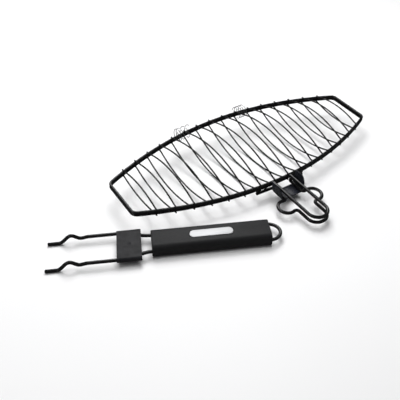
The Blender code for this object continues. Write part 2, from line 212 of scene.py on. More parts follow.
@dataclass(frozen=True)
class Bar:
    """A round bar that is swept along a path.

    Attributes:
        radius: The bar's radius in metres.
        sides: How many flats stand for its round section.
    """

    radius: float
    sides: int = 20

    # (distance from the cut end, share of the radius), both in radii: a sheared, enamelled end
    END_PROFILE = ((0.0, 0.55), (0.07, 0.8), (0.2, 0.94), (0.42, 1.0))

    def end_steps(self, place: Matrix, inward: float) -> list[Matrix]:
        """The steps of one rounded end, from its tip inwards.

        Args:
            place: The end's placement.
            inward: 1 where the bar runs along local Z from here, -1 where it arrives.

        Returns:
            One placement for each step of the end's profile.
        """
        steps = []
        for distance, share in self.END_PROFILE:
            shift = Matrix.Translation((0, 0, inward * distance * self.radius))
            steps.append(place @ shift @ Matrix.Diagonal((share, share, 1, 1)))
        return steps

    def rounded_ends(self, places: list[Matrix]) -> list[Matrix]:
        """Replaces the first and last placement by the steps of a rounded end."""
        first, last = self.end_steps(places[0], 1.0), self.end_steps(places[-1], -1.0)
        return first + places[1:-1] + last[::-1]

    def sweep(self, path: Sequence[Vector], closed: bool = False) -> bmesh.types.BMesh:
        """Extrudes a circle from point to point along the path.

        Args:
            path: The centre line.
            closed: Whether the bar joins its own start.

        Returns:
            A closed mesh whose faces point outwards.
        """
        places = stations(path, closed)
        if not closed:
            places = self.rounded_ends(places)
        bar = bmesh.new()
        bmesh.ops.create_circle(
            bar, cap_ends=False, radius=self.radius, segments=self.sides, matrix=places[0]
        )
        first = ring = list(bar.edges)
        for before, after in zip(places, places[1:]):
            fresh, ring = grow_row(bar, ring)
            bmesh.ops.transform(bar, matrix=after @ before.inverted(), verts=fresh)
        if closed:
            bmesh.ops.bridge_loops(bar, edges=ring + first)
        else:
            bmesh.ops.edgeloop_fill(bar, edges=first)
            bmesh.ops.edgeloop_fill(bar, edges=ring)
        bmesh.ops.recalc_face_normals(bar, faces=bar.faces)
        return bar


def grow_row(
    shape: bmesh.types.BMesh, row: Sequence[bmesh.types.BMEdge]
) -> tuple[list[bmesh.types.BMVert], list[bmesh.types.BMEdge]]:
    """Extrudes a row of edges, leaving the new row in place for the caller to move.

    Args:
        shape: The mesh that the row belongs to.
        row: The edges to extrude.

    Returns:
        The new row's vertices and its edges.
    """
    grown = bmesh.ops.extrude_edge_only(shape, edges=row)["geom"]
    fresh = [item for item in grown if isinstance(item, bmesh.types.BMVert)]
    known = set(fresh)
    edges = [
        item for item in grown
        if isinstance(item, bmesh.types.BMEdge) and known.issuperset(item.verts)
    ]
    return fresh, edges


def beads(places: Sequence[Matrix], size: Sequence[float]) -> bmesh.types.BMesh:
    """A row of small rounded weld beads.

    Args:
        places: Where each bead sits, and how it is turned.
        size: Its half sizes along its own X, Y and Z, in metres.

    Returns:
        One mesh that holds every bead.
    """
    row = bmesh.new()
    for place in places:
        bmesh.ops.create_icosphere(
            row, subdivisions=3, radius=1.0, matrix=place @ Matrix.Diagonal((*size, 1.0))
        )
    bmesh.ops.recalc_face_normals(row, faces=row.faces)
    return row


# ---------------------------------------------------------------- finishes


class Recipe:
    """A Principled material while its nodes are being wired, on Object coordinates."""

    def __init__(self, name: str) -> None:
        """Starts a material with an empty pattern."""
        self.material = bpy.data.materials.new(name)
        self.material.use_nodes = True
        self.tree = self.material.node_tree
        self.shader = self.tree.nodes["Principled BSDF"]
        self.place = self.tree.nodes.new("ShaderNodeTexCoord").outputs["Object"]

    def constant(self, socket: str, value: float) -> None:
        """Sets a value that is the same all over the surface."""
        self.shader.inputs[socket].default_value = value

    def turned(self, degrees: float) -> None:
        """Turns the pattern about Z, so that its X runs along a piece."""
        node = self.tree.nodes.new("ShaderNodeMapping")
        node.inputs["Rotation"].default_value[2] = math.radians(degrees)
        self.tree.links.new(self.place, node.inputs["Vector"])
        self.place = node.outputs["Vector"]

    def noise(self, scale: float, detail: float, stretch: Sequence[float] = (1, 1, 1)) -> Socket:
        """A noise pattern.

        Args:
            scale: Its size, in features to the metre.
            detail: How many finer layers it holds.
            stretch: How much denser it is along each axis.

        Returns:
            The noise's output socket, from 0 to 1.
        """
        scaled = self.tree.nodes.new("ShaderNodeMapping")
        scaled.inputs["Scale"].default_value = tuple(stretch)
        self.tree.links.new(self.place, scaled.inputs["Vector"])
        node = self.tree.nodes.new("ShaderNodeTexNoise")
        node.inputs["Scale"].default_value = scale
        node.inputs["Detail"].default_value = detail
        self.tree.links.new(scaled.outputs["Vector"], node.inputs["Vector"])
        return node.outputs["Fac"]

    def cells(self, scale: float, randomness: float = 1.0) -> Socket:
        """A cell pattern, for grain and pores.

        Args:
            scale: Its size, in cells to the metre.
            randomness: How uneven the cells are, from 0 to 1.

        Returns:
            The pattern's distance output.
        """
        node = self.tree.nodes.new("ShaderNodeTexVoronoi")
        node.inputs["Scale"].default_value = scale
        node.inputs["Randomness"].default_value = randomness
        self.tree.links.new(self.place, node.inputs["Vector"])
        return node.outputs["Distance"]

    def spread(
        self, source: Socket, low: float, high: float, start: float = 0.3, end: float = 0.7
    ) -> Socket:
        """Maps part of a pattern onto a range.

        Args:
            source: The pattern.
            low: The value at start.
            high: The value at end.
            start: Where in the pattern the range begins.
            end: Where in the pattern it ends.

        Returns:
            The mapped value.
        """
        node = self.tree.nodes.new("ShaderNodeMapRange")
        limits = {"From Min": start, "From Max": end, "To Min": low, "To Max": high}
        for socket, value in limits.items():
            node.inputs[socket].default_value = value
        self.tree.links.new(source, node.inputs["Value"])
        return node.outputs["Result"]

    def colours(
        self, source: Socket, low: Colour, high: Colour, start: float = 0.3, end: float = 0.7
    ) -> None:
        """Runs the base colour from one colour to another along a pattern.

        Args:
            source: The pattern.
            low: The colour at start.
            high: The colour at end.
            start: Where in the pattern the change begins.
            end: Where in the pattern it ends.
        """
        node = self.tree.nodes.new("ShaderNodeValToRGB")
        for stop, place, colour in zip(node.color_ramp.elements, (start, end), (low, high)):
            stop.position = place
            stop.color = (*colour, 1.0)
        self.tree.links.new(source, node.inputs["Fac"])
        self.tree.links.new(node.outputs["Color"], self.shader.inputs["Base Color"])

    def drive(self, socket: str, source: Socket) -> None:
        """Lets a pattern set one of the shader's sockets."""
        self.tree.links.new(source, self.shader.inputs[socket])

    def relief(self, layers: Sequence[tuple[Socket, float]], strength: float) -> None:
        """Stacks bump layers.

        Args:
            layers: Pairs of a pattern and its height in metres.
            strength: How much of the relief shows.
        """
        previous = None
        for source, height in layers:
            node = self.tree.nodes.new("ShaderNodeBump")
            node.inputs["Strength"].default_value = strength
            node.inputs["Distance"].default_value = height
            self.tree.links.new(source, node.inputs["Height"])
            if previous is not None:
                self.tree.links.new(previous, node.inputs["Normal"])
            previous = node.outputs["Normal"]
        self.tree.links.new(previous, self.shader.inputs["Normal"])


@dataclass(frozen=True)
class Enamel:
    """Stoved black enamel: near black, glossy, with a faint orange peel and soft sags.

    Attributes:
        name: The material's name.
        tone: Its darkest colour.
        gloss: The roughness of its shiniest parts.
        dull: The roughness of its dullest parts.
        shine: How strongly it reflects, from 0 to 1.
        peel: The height of the orange peel in metres.
    """

    name: str
    tone: Colour = (0.003, 0.003, 0.0033)
    gloss: float = 0.16
    dull: float = 0.3
    shine: float = 0.5
    peel: float = 0.03 * MM

    def make(self) -> bpy.types.Material:
        """Wires the enamel's nodes."""
        recipe = Recipe(self.name)
        cloud = recipe.noise(90, 4)
        recipe.colours(cloud, self.tone, tuple(2.2 * value for value in self.tone))
        recipe.drive("Roughness", recipe.spread(recipe.noise(240, 5), self.gloss, self.dull))
        recipe.constant("Specular IOR Level", self.shine)
        recipe.relief([(recipe.noise(1100, 3), self.peel), (cloud, 4 * self.peel)], 0.35)
        return recipe.material


@dataclass(frozen=True)
class Plating:
    """Bright plated spring wire, with drawn lines and a little dulling."""

    name: str = "bright_plating"

    def make(self) -> bpy.types.Material:
        """Wires the plating's nodes."""
        recipe = Recipe(self.name)
        recipe.colours(recipe.noise(300, 4), (0.62, 0.63, 0.65), (0.86, 0.87, 0.89))
        recipe.constant("Metallic", 1.0)
        drawn = recipe.noise(900, 3, (0.2, 1.0, 1.0))
        recipe.drive("Roughness", recipe.spread(drawn, 0.08, 0.24))
        recipe.relief([(drawn, 0.01 * MM)], 0.3)
        return recipe.material


@dataclass(frozen=True)
class MouldedGrip:
    """Charcoal moulded plastic with a fine spark-eroded grain.

    Attributes:
        name: The material's name.
        turn: The handle's direction in degrees, which the flow marks follow.
    """

    name: str
    turn: float

    def make(self) -> bpy.types.Material:
        """Wires the plastic's nodes."""
        recipe = Recipe(self.name)
        recipe.turned(-self.turn)
        flow = recipe.noise(60, 5, (0.25, 1.0, 1.0))
        recipe.colours(flow, (0.010, 0.0102, 0.011), (0.015, 0.0152, 0.016))
        grain = recipe.cells(2300)
        recipe.drive("Roughness", recipe.spread(recipe.noise(700, 4), 0.5, 0.64))
        recipe.constant("Specular IOR Level", 0.25)
        layers = [(grain, 0.05 * MM), (recipe.noise(1500, 4), 0.03 * MM), (flow, 0.06 * MM)]
        recipe.relief(layers, 0.5)
        return recipe.material


@dataclass(frozen=True)
class BrushedBadge:
    """Pale brushed metal, its lines along the handle.

    Attributes:
        name: The material's name.
        turn: The handle's direction in degrees.
    """

    name: str
    turn: float

    def make(self) -> bpy.types.Material:
        """Wires the brushed metal's nodes."""
        recipe = Recipe(self.name)
        recipe.turned(-self.turn)
        lines = recipe.noise(3200, 2, (0.02, 1.0, 1.0))
        recipe.colours(lines, (0.46, 0.465, 0.475), (0.6, 0.605, 0.615))
        recipe.constant("Metallic", 1.0)
        recipe.drive("Roughness", recipe.spread(lines, 0.5, 0.62))
        recipe.relief([(lines, 0.008 * MM)], 0.4)
        return recipe.material


@dataclass(frozen=True)
class Backdrop:
    """The plain pale floor, with the faintest mottling."""

    name: str = "pale_floor"

    def make(self) -> bpy.types.Material:
        """Wires the floor's nodes."""
        recipe = Recipe(self.name)
        recipe.colours(recipe.noise(3, 2), (0.86, 0.86, 0.865), (0.88, 0.88, 0.885))
        recipe.constant("Roughness", 0.55)
        recipe.constant("Specular IOR Level", 0.25)
        return recipe.material


# ---------------------------------------------------------------- publishing pieces


def publish(
    name: str,
    shape: bmesh.types.BMesh,
    local: Matrix,
    material: bpy.types.Material,
    body: Body,
    node: Optional[str] = None,
    crease: float = 40.0,
) -> bpy.types.Object:
    """Turns a finished bmesh into a piece that rides on its body.

    Args:
        name: The piece's name.
        shape: Its mesh, in a local frame. It is freed.
        local: The local frame's place in the row frame.
        material: Its finish.
        body: The body that it moves with.
        node: The CAD node that it stands for, if it stands for one.
        crease: Edges sharper than this many degrees stay sharp.

    Returns:
        The new object, at the origin.
    """
    shape.transform(local)
    mesh = bpy.data.meshes.new(name)
    shape.to_mesh(mesh)
    shape.free()
    mesh.shade_smooth()
    mesh.set_sharp_from_angle(angle=math.radians(crease))
    mesh.materials.append(material)
    piece = bpy.data.objects.new(name, mesh)
    bpy.context.scene.collection.objects.link(piece)
    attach(piece, body.value)
    if node:
        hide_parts(node)
    LOG.info("%s: %d faces on %s", name, len(mesh.polygons), body.value)
    return piece


def stand_in(shape: bmesh.types.BMesh, name: str) -> bpy.types.Object:
    """Puts a shape in the scene for a modifier to use.

    Args:
        shape: The shape. It is freed.
        name: The helper's name.

    Returns:
        The helper, which the caller removes.
    """
    mesh = bpy.data.meshes.new(name)
    shape.to_mesh(mesh)
    shape.free()
    helper = bpy.data.objects.new(name, mesh)
    bpy.context.scene.collection.objects.link(helper)
    return helper


def carve(target: bmesh.types.BMesh, cutters: Sequence[bmesh.types.BMesh]) -> bmesh.types.BMesh:
    """Cuts shapes out of a shape.

    Args:
        target: The shape to cut. It is freed.
        cutters: What to take away. They are freed.

    Returns:
        The cut shape.
    """
    block = stand_in(target, "carved_block")
    tools = [stand_in(cutter, "carving_tool") for cutter in cutters]
    for tool in tools:
        modifier = block.modifiers.new("carve", "BOOLEAN")
        modifier.object = tool
        modifier.operation = "DIFFERENCE"
        modifier.solver = "EXACT"
    bpy.context.view_layer.update()
    graph = bpy.context.evaluated_depsgraph_get()
    result = bmesh.new()
    result.from_object(block, graph)
    for helper in [block, *tools]:
        bpy.data.objects.remove(helper)
    return result


# ---------------------------------------------------------------- the basket


@dataclass
class BasketShape:
    """The sizes that both halves share, in metres, and where the basket stands."""

    half_length: float = 190.0 * MM
    mid_half_width: float = 74.4 * MM
    end_half_width: float = 30.7 * MM
    corner: float = 5.5 * MM
    frame_radius: float = 1.8 * MM
    cross_radius: float = 1.0 * MM
    rod_radius: float = 2.1 * MM
    wires: int = 16
    pitch: float = 22.0 * MM
    pad: float = 2.5 * MM
    tip: float = 2.0 * MM
    lean: float = math.radians(4.0)

    @property
    def lid_lift(self) -> float:
        """How far the lid frame's wire lies above the bottom frame's."""
        return 2 * self.frame_radius + GAP

    @property
    def crossing(self) -> float:
        """How far a cross wire's centre lies from its frame's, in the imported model."""
        return self.frame_radius + self.cross_radius + GAP

    @property
    def place(self) -> Matrix:
        """The basket's frame in the row frame, found from the lid's hinge."""
        hinge = next(joint for joint in frame["joints"] if joint["name"] == "lid_hinge")
        back = Matrix.Translation((0.0, -self.mid_half_width, 0.0))
        return Matrix.Translation(hinge["pos_m"]) @ Matrix.Rotation(self.lean, 4, "X") @ back

    def half_width(self, x: float) -> float:
        """Half the width at x, to the frame's wire centre."""
        rise = self.mid_half_width - self.end_half_width
        return self.end_half_width + rise * (1 - (x / self.half_length) ** 2)

    def wire_x(self, number: int) -> float:
        """Where cross wire number 1 to 16 stands along the basket."""
        return (number - (self.wires + 1) / 2) * self.pitch

    def outline(self, steps: int = 70, corner_steps: int = 10) -> list[Point2]:
        """The frame's closed outline, from the middle of the far side.

        Args:
            steps: Points along half a side.
            corner_steps: Points round a corner.

        Returns:
            The points, all the way round.
        """
        side_end = self.half_length - self.corner
        side = [(side_end * i / steps, self.half_width(side_end * i / steps)) for i in range(steps)]
        end_width = self.half_width(self.half_length)
        turn = bend(
            (side_end, self.half_width(side_end)),
            (self.half_length, end_width),
            (self.half_length, end_width - self.corner),
            corner_steps,
        )
        quarter = side + turn
        straight = run(quarter[-1], (self.half_length, -quarter[-1][1]), 8)[1:]
        half = quarter + straight + [(x, -y) for x, y in reversed(quarter[1:])]
        return half + [(-x, -y) for x, y in half]


@dataclass
class WireHalf:
    """One bowed half of the basket: its frame, its cross wires and their welds.

    Attributes:
        shape: The sizes that both halves share.
        name: The word that its pieces' names start with.
        body: The body that it belongs to.
        up: 1 for the half that bows upwards, -1 for the other.
        bow_end: How far it bows at the ends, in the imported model.
        bow_mid: How far it bows in the middle.
    """

    shape: BasketShape
    name: str
    body: Body
    up: int
    bow_end: float
    bow_mid: float

    SEAT = 0.12 * MM  # how far a welded wire sinks into its frame
    SOFTNESS = 0.03  # how gently the bow leaves the straight pads
    POINTS = 54

    @property
    def level(self) -> float:
        """The height of this half's frame wire."""
        return self.shape.lid_lift if self.up > 0 else 0.0

    def bow(self, x: float) -> float:
        """How far the half bows away from its frame at x."""
        share = 1 - (x / self.shape.half_length) ** 2
        return self.bow_end + (self.bow_mid - self.bow_end) * share

    def wire_path(self, x: float, tips: Point2) -> list[Vector]:
        """The centre line of one cross wire, seated on its frame.

        Args:
            x: Where the wire stands along the basket.
            tips: How far its near and far ends stand past the frame.

        Returns:
            The points from the near end to the far end.
        """
        half = self.shape.half_width(x)
        reach = half - self.shape.pad
        seated = self.shape.crossing - GAP - self.SEAT
        rise = self.bow(x) + GAP + self.SEAT
        low, high = -half - tips[0], half + tips[1]
        path = []
        for i in range(self.POINTS + 1):
            y = low + (high - low) * i / self.POINTS
            inside = 1 - (y / reach) ** 2
            share = 0.5 * (inside + math.hypot(inside, self.SOFTNESS))
            path.append(Vector((x, y, self.level + self.up * (seated + rise * share))))
        return path

    def weld_places(self, x: float) -> list[Matrix]:
        """Where one cross wire is welded to the frame, on both sides."""
        height = self.level + self.up * (self.shape.frame_radius - 0.05 * MM)
        rise = self.shape.mid_half_width - self.shape.end_half_width
        slope = -2 * rise * x / self.shape.half_length**2
        places = []
        for side in (-1, 1):
            turn = Matrix.Rotation(math.atan(side * slope), 4, "Z")
            spot = (x, side * self.shape.half_width(x), height)
            places.append(Matrix.Translation(spot) @ turn)
        return places

    def build(self, enamel: bpy.types.Material, wire_enamel: bpy.types.Material) -> None:
        """Models the frame, the sixteen wires and the weld beads.

        Args:
            enamel: The frame's finish.
            wire_enamel: The thin wires' finish.
        """
        place = self.shape.place
        rim = Bar(self.shape.frame_radius, 20).sweep(lifted(self.shape.outline(), self.level), True)
        publish(f"{self.name}_rim", rim, place, enamel, self.body, f"{self.name}_frame")
        chance = random.Random(SEED + self.up)
        thin = Bar(self.shape.cross_radius, 14)
        welds = []
        for number in range(1, self.shape.wires + 1):
            x = self.shape.wire_x(number)
            tips = tuple(self.shape.tip - chance.uniform(0.0, 0.5) * MM for _ in range(2))
            node = f"{self.name}_wire_{number:02d}"
            bar = thin.sweep(self.wire_path(x, tips))
            publish(f"{node}_enamelled", bar, place, wire_enamel, self.body, node)
            welds += self.weld_places(x)
        bead = (1.35 * MM, 1.25 * MM, 0.62 * MM)
        publish(f"{self.name}_welds", beads(welds, bead), place, enamel, self.body)


@dataclass
class Bails:
    """The lid's hairpin bail and the lobed bail under the bottom frame."""

    shape: BasketShape
    half_gap: float = 13.5 * MM
    tip: float = 155.0 * MM
    upper_corner: float = 13.2 * MM
    lower_corner: float = 12.5 * MM
    foot_reach: float = 38.0 * MM
    foot_bend: float = 6.0 * MM
    lobe: Point2 = (21.5 * MM, 113.0 * MM)
    lobe_radius: float = 11.0 * MM
    lobe_blend: float = 4.0 * MM

    @property
    def drop(self) -> float:
        """How far the lower bail's legs lie below the bottom frame's wire."""
        return self.shape.frame_radius + self.shape.rod_radius + GAP

    @property
    def foot_drop(self) -> float:
        """How far its feet lie below that wire: under the cross wires' ends."""
        return self.shape.crossing + self.shape.cross_radius + GAP + self.shape.rod_radius

    def upper_path(self) -> list[Vector]:
        """The hairpin, its legs run into the lid frame's outer side."""
        root = self.shape.half_width(self.half_gap) + self.shape.frame_radius - 0.4 * MM
        centre = (self.half_gap - self.upper_corner, -self.tip + self.upper_corner)
        leg = run((self.half_gap, -root), (self.half_gap, centre[1]), 12)
        turn = arc(centre, self.upper_corner, 0, -90, 14)
        return with_mirror(lifted(leg + turn, self.shape.lid_lift))

    def lower_path(self) -> list[Vector]:
        """Feet under the frame, legs, side lobes and a rounded tip."""
        inner_x = self.half_gap + self.foot_bend
        foot = []
        for i in range(8):
            x = self.foot_reach + (inner_x - self.foot_reach) * i / 8
            foot.append(Vector((x, -self.shape.half_width(x), -self.foot_drop)))
        foot_y = self.shape.half_width(inner_x)
        turn = arc((inner_x, -foot_y - self.foot_bend), self.foot_bend, 90, 180, 12)
        for i, (x, y) in enumerate(turn):
            ease = smoothstep(i / (len(turn) - 1))
            foot.append(Vector((x, y, -self.foot_drop + (self.foot_drop - self.drop) * ease)))
        side = self.half_gap + self.lobe_blend
        rise = math.sqrt((self.lobe_radius + self.lobe_blend) ** 2 - (self.lobe[0] - side) ** 2)
        lean = math.degrees(math.atan2(rise, side - self.lobe[0]))
        inner = arc((side, -self.lobe[1] + rise), self.lobe_blend, 180, 180 + lean, 10)
        lobe = arc((self.lobe[0], -self.lobe[1]), self.lobe_radius, lean, -lean, 36)
        outer = arc((side, -self.lobe[1] - rise), self.lobe_blend, 180 - lean, 180, 10)
        corner = (self.half_gap - self.lower_corner, -self.tip + self.lower_corner)
        leg = run(turn[-1], inner[0], 6)[1:]
        end = run(outer[-1], (self.half_gap, corner[1]), 6)[1:]
        flat = leg + inner + lobe[1:-1] + outer + end + arc(corner, self.lower_corner, 0, -90, 12)
        return with_mirror(foot + lifted(flat, -self.drop))

    def foot_welds(self) -> list[Matrix]:
        """Beads where the feet meet the frame and the cross wires."""
        places = []
        for side in (-1, 1):
            for x in (24.0 * MM, 33.0 * MM, 36.5 * MM):
                height = -(self.shape.frame_radius + self.foot_drop - self.shape.rod_radius) / 2
                places.append(Matrix.Translation((side * x, -self.shape.half_width(x), height)))
        return places

    def build(self, enamel: bpy.types.Material) -> None:
        """Models both bails and the beads that hold them."""
        place = self.shape.place
        rod = Bar(self.shape.rod_radius, 26)
        upper, lower = rod.sweep(self.upper_path()), rod.sweep(self.lower_path())
        publish("upper_bail_rod", upper, place, enamel, Body.LID, "upper_bail")
        publish("lower_bail_rod", lower, place, enamel, Body.BOTTOM, "lower_bail")
        root = self.shape.half_width(self.half_gap) + self.shape.frame_radius
        roots = [Matrix.Translation((s * self.half_gap, -root, self.shape.lid_lift)) for s in (-1, 1)]
        collar = beads(roots, (2.75 * MM, 0.9 * MM, 2.0 * MM))
        publish("upper_bail_welds", collar, place, enamel, Body.LID)
        feet = beads(self.foot_welds(), (2.0 * MM, 1.5 * MM, 1.25 * MM))
        publish("lower_bail_welds", feet, place, enamel, Body.BOTTOM)


@dataclass
class LatchBracket:
    """The folded sheet under the lower bail, with an ear on each side."""

    shape: BasketShape
    bails: Bails
    sheet: float = 1.2 * MM
    half_width: float = 16.5 * MM
    fold: float = 2.0 * MM
    web_inner: float = 81.0 * MM
    outer: float = 99.5 * MM
    ear_inner: float = 79.0 * MM
    ear_top_outer: float = 91.0 * MM
    ear_top: float = 12.0 * MM
    flare: float = 4.0 * MM
    ear_steps: int = 22
    trim: float = 0.3 * MM

    def section(self) -> list[Point2]:
        """Half of the folded section (x, z), from the web's middle to the ear's top."""
        web = self.bails.drop + self.shape.rod_radius + GAP + self.sheet / 2
        centre = (self.half_width - self.fold, -web + self.fold)
        folded = arc(centre, self.fold, -90, 0, 8)
        over = self.ear_top + 2 * self.sheet
        slope = self.flare / (over - folded[-1][1])
        ear = []
        for i in range(1, self.ear_steps + 1):
            z = folded[-1][1] + (self.ear_top - folded[-1][1]) * i / self.ear_steps
            ear.append((self.half_width + slope * (z - folded[-1][1]), z))
        return run((0.0, -web), folded[0], 6) + folded + ear

    def edges_at(self, z: float) -> Point2:
        """The inner and outer edge (as negative y) at a height on the section."""
        shoulder = -self.bails.drop
        edge = bend(
            (self.outer, shoulder), (self.outer - MM, 0.7 * self.ear_top),
            (self.ear_top_outer, self.ear_top), 60,
        )
        outer = self.outer
        if z > shoulder:
            outer = min(edge, key=lambda point: abs(point[1] - z))[0]
        fade = min(max((z - shoulder + self.fold) / self.fold, 0.0), 1.0)
        inner = self.web_inner + (self.ear_inner - self.web_inner) * smoothstep(fade)
        return inner, outer

    def build(self, paint: bpy.types.Material, enamel: bpy.types.Material) -> None:
        """Folds the sheet, trims it, gives it its thickness and rounds its rims.

        Args:
            paint: The sheet's finish.
            enamel: The weld beads' finish.
        """
        half = self.section()
        row = [(-x, z) for x, z in reversed(half[1:])] + half
        sheet = bmesh.new()
        verts = [sheet.verts.new((x, -self.edges_at(z)[0], z)) for x, z in row]
        line = [sheet.edges.new(pair) for pair in zip(verts, verts[1:])]
        for step in range(1, 7):
            fresh, line = grow_row(sheet, line)
            for vert in fresh:
                inner, outer = self.edges_at(vert.co.z)
                vert.co.y = -(inner + (outer - inner) * step / 6)
        finish_sheet(sheet, self.sheet, self.trim)
        place = self.shape.place
        publish(
            "latch_bracket_sheet", sheet, place, paint,
            Body.BOTTOM, "latch_bracket",
        )
        under = -self.bails.drop - self.shape.rod_radius
        spots = [
            Matrix.Translation((side * self.bails.half_gap, -y, under))
            for side in (-1, 1) for y in (84.0 * MM, 95.0 * MM)
        ]
        lumps = beads(spots, (1.5 * MM, 2.4 * MM, 0.7 * MM))
        publish("latch_bracket_welds", lumps, place, enamel, Body.BOTTOM)


def finish_sheet(sheet: bmesh.types.BMesh, thickness: float, trim: float) -> None:
    """Gives an open surface its thickness, centred on it, and rounds the rim.

    Args:
        sheet: The surface, changed in place.
        thickness: The sheet's thickness in metres.
        trim: The radius of the broken edges.
    """
    bmesh.ops.recalc_face_normals(sheet, faces=sheet.faces)
    sheet.normal_update()
    for vert in sheet.verts:
        vert.co += vert.normal * thickness / 2
    bmesh.ops.solidify(sheet, geom=list(sheet.faces), thickness=thickness)
    bmesh.ops.recalc_face_normals(sheet, faces=sheet.faces)
    sheet.normal_update()
    sharp = [edge for edge in sheet.edges if edge.calc_face_angle(0.0) > SHARP_ANGLE]
    bmesh.ops.bevel(
        sheet, geom=sharp, offset=trim, segments=3, profile=0.5, affect="EDGES", material=-1
    )


@dataclass(frozen=True)
class HingeCoil:
    """One loose coil that wraps both frames.

    Attributes:
        node: The CAD node that it stands for.
        start: Where its first turn begins along the basket.
        pitches: How far each turn advances.
        centre: The coil's centre from the hinge line, across and up.
        first_angle: The angle of its first point in degrees.
    """

    node: str
    start: float
    pitches: tuple[float, ...]
    centre: Point2
    first_angle: float

    WIRE = 0.5 * MM
    RADIUS = 8.6 * MM
    STEPS = 40

    def path(self, shape: BasketShape) -> list[Vector]:
        """The coil's centre line."""
        points = []
        reached = self.start
        middle = (shape.mid_half_width + self.centre[0], self.centre[1])
        for turn, pitch in enumerate(self.pitches):
            for step in range(self.STEPS):
                angle = math.radians(self.first_angle) + 2 * math.pi * (turn + step / self.STEPS)
                y = middle[0] + self.RADIUS * math.cos(angle)
                z = middle[1] + self.RADIUS * math.sin(angle)
                points.append(Vector((reached + pitch * step / self.STEPS, y, z)))
            reached += pitch
        return points

    def build(self, shape: BasketShape, plating: bpy.types.Material) -> None:
        """Models the coil."""
        coil = Bar(self.WIRE, 12).sweep(self.path(shape))
        publish(
            f"{self.node}_spring", coil, shape.place, plating,
            Body.BOTTOM, self.node,
        )


# ---------------------------------------------------------------- the handle


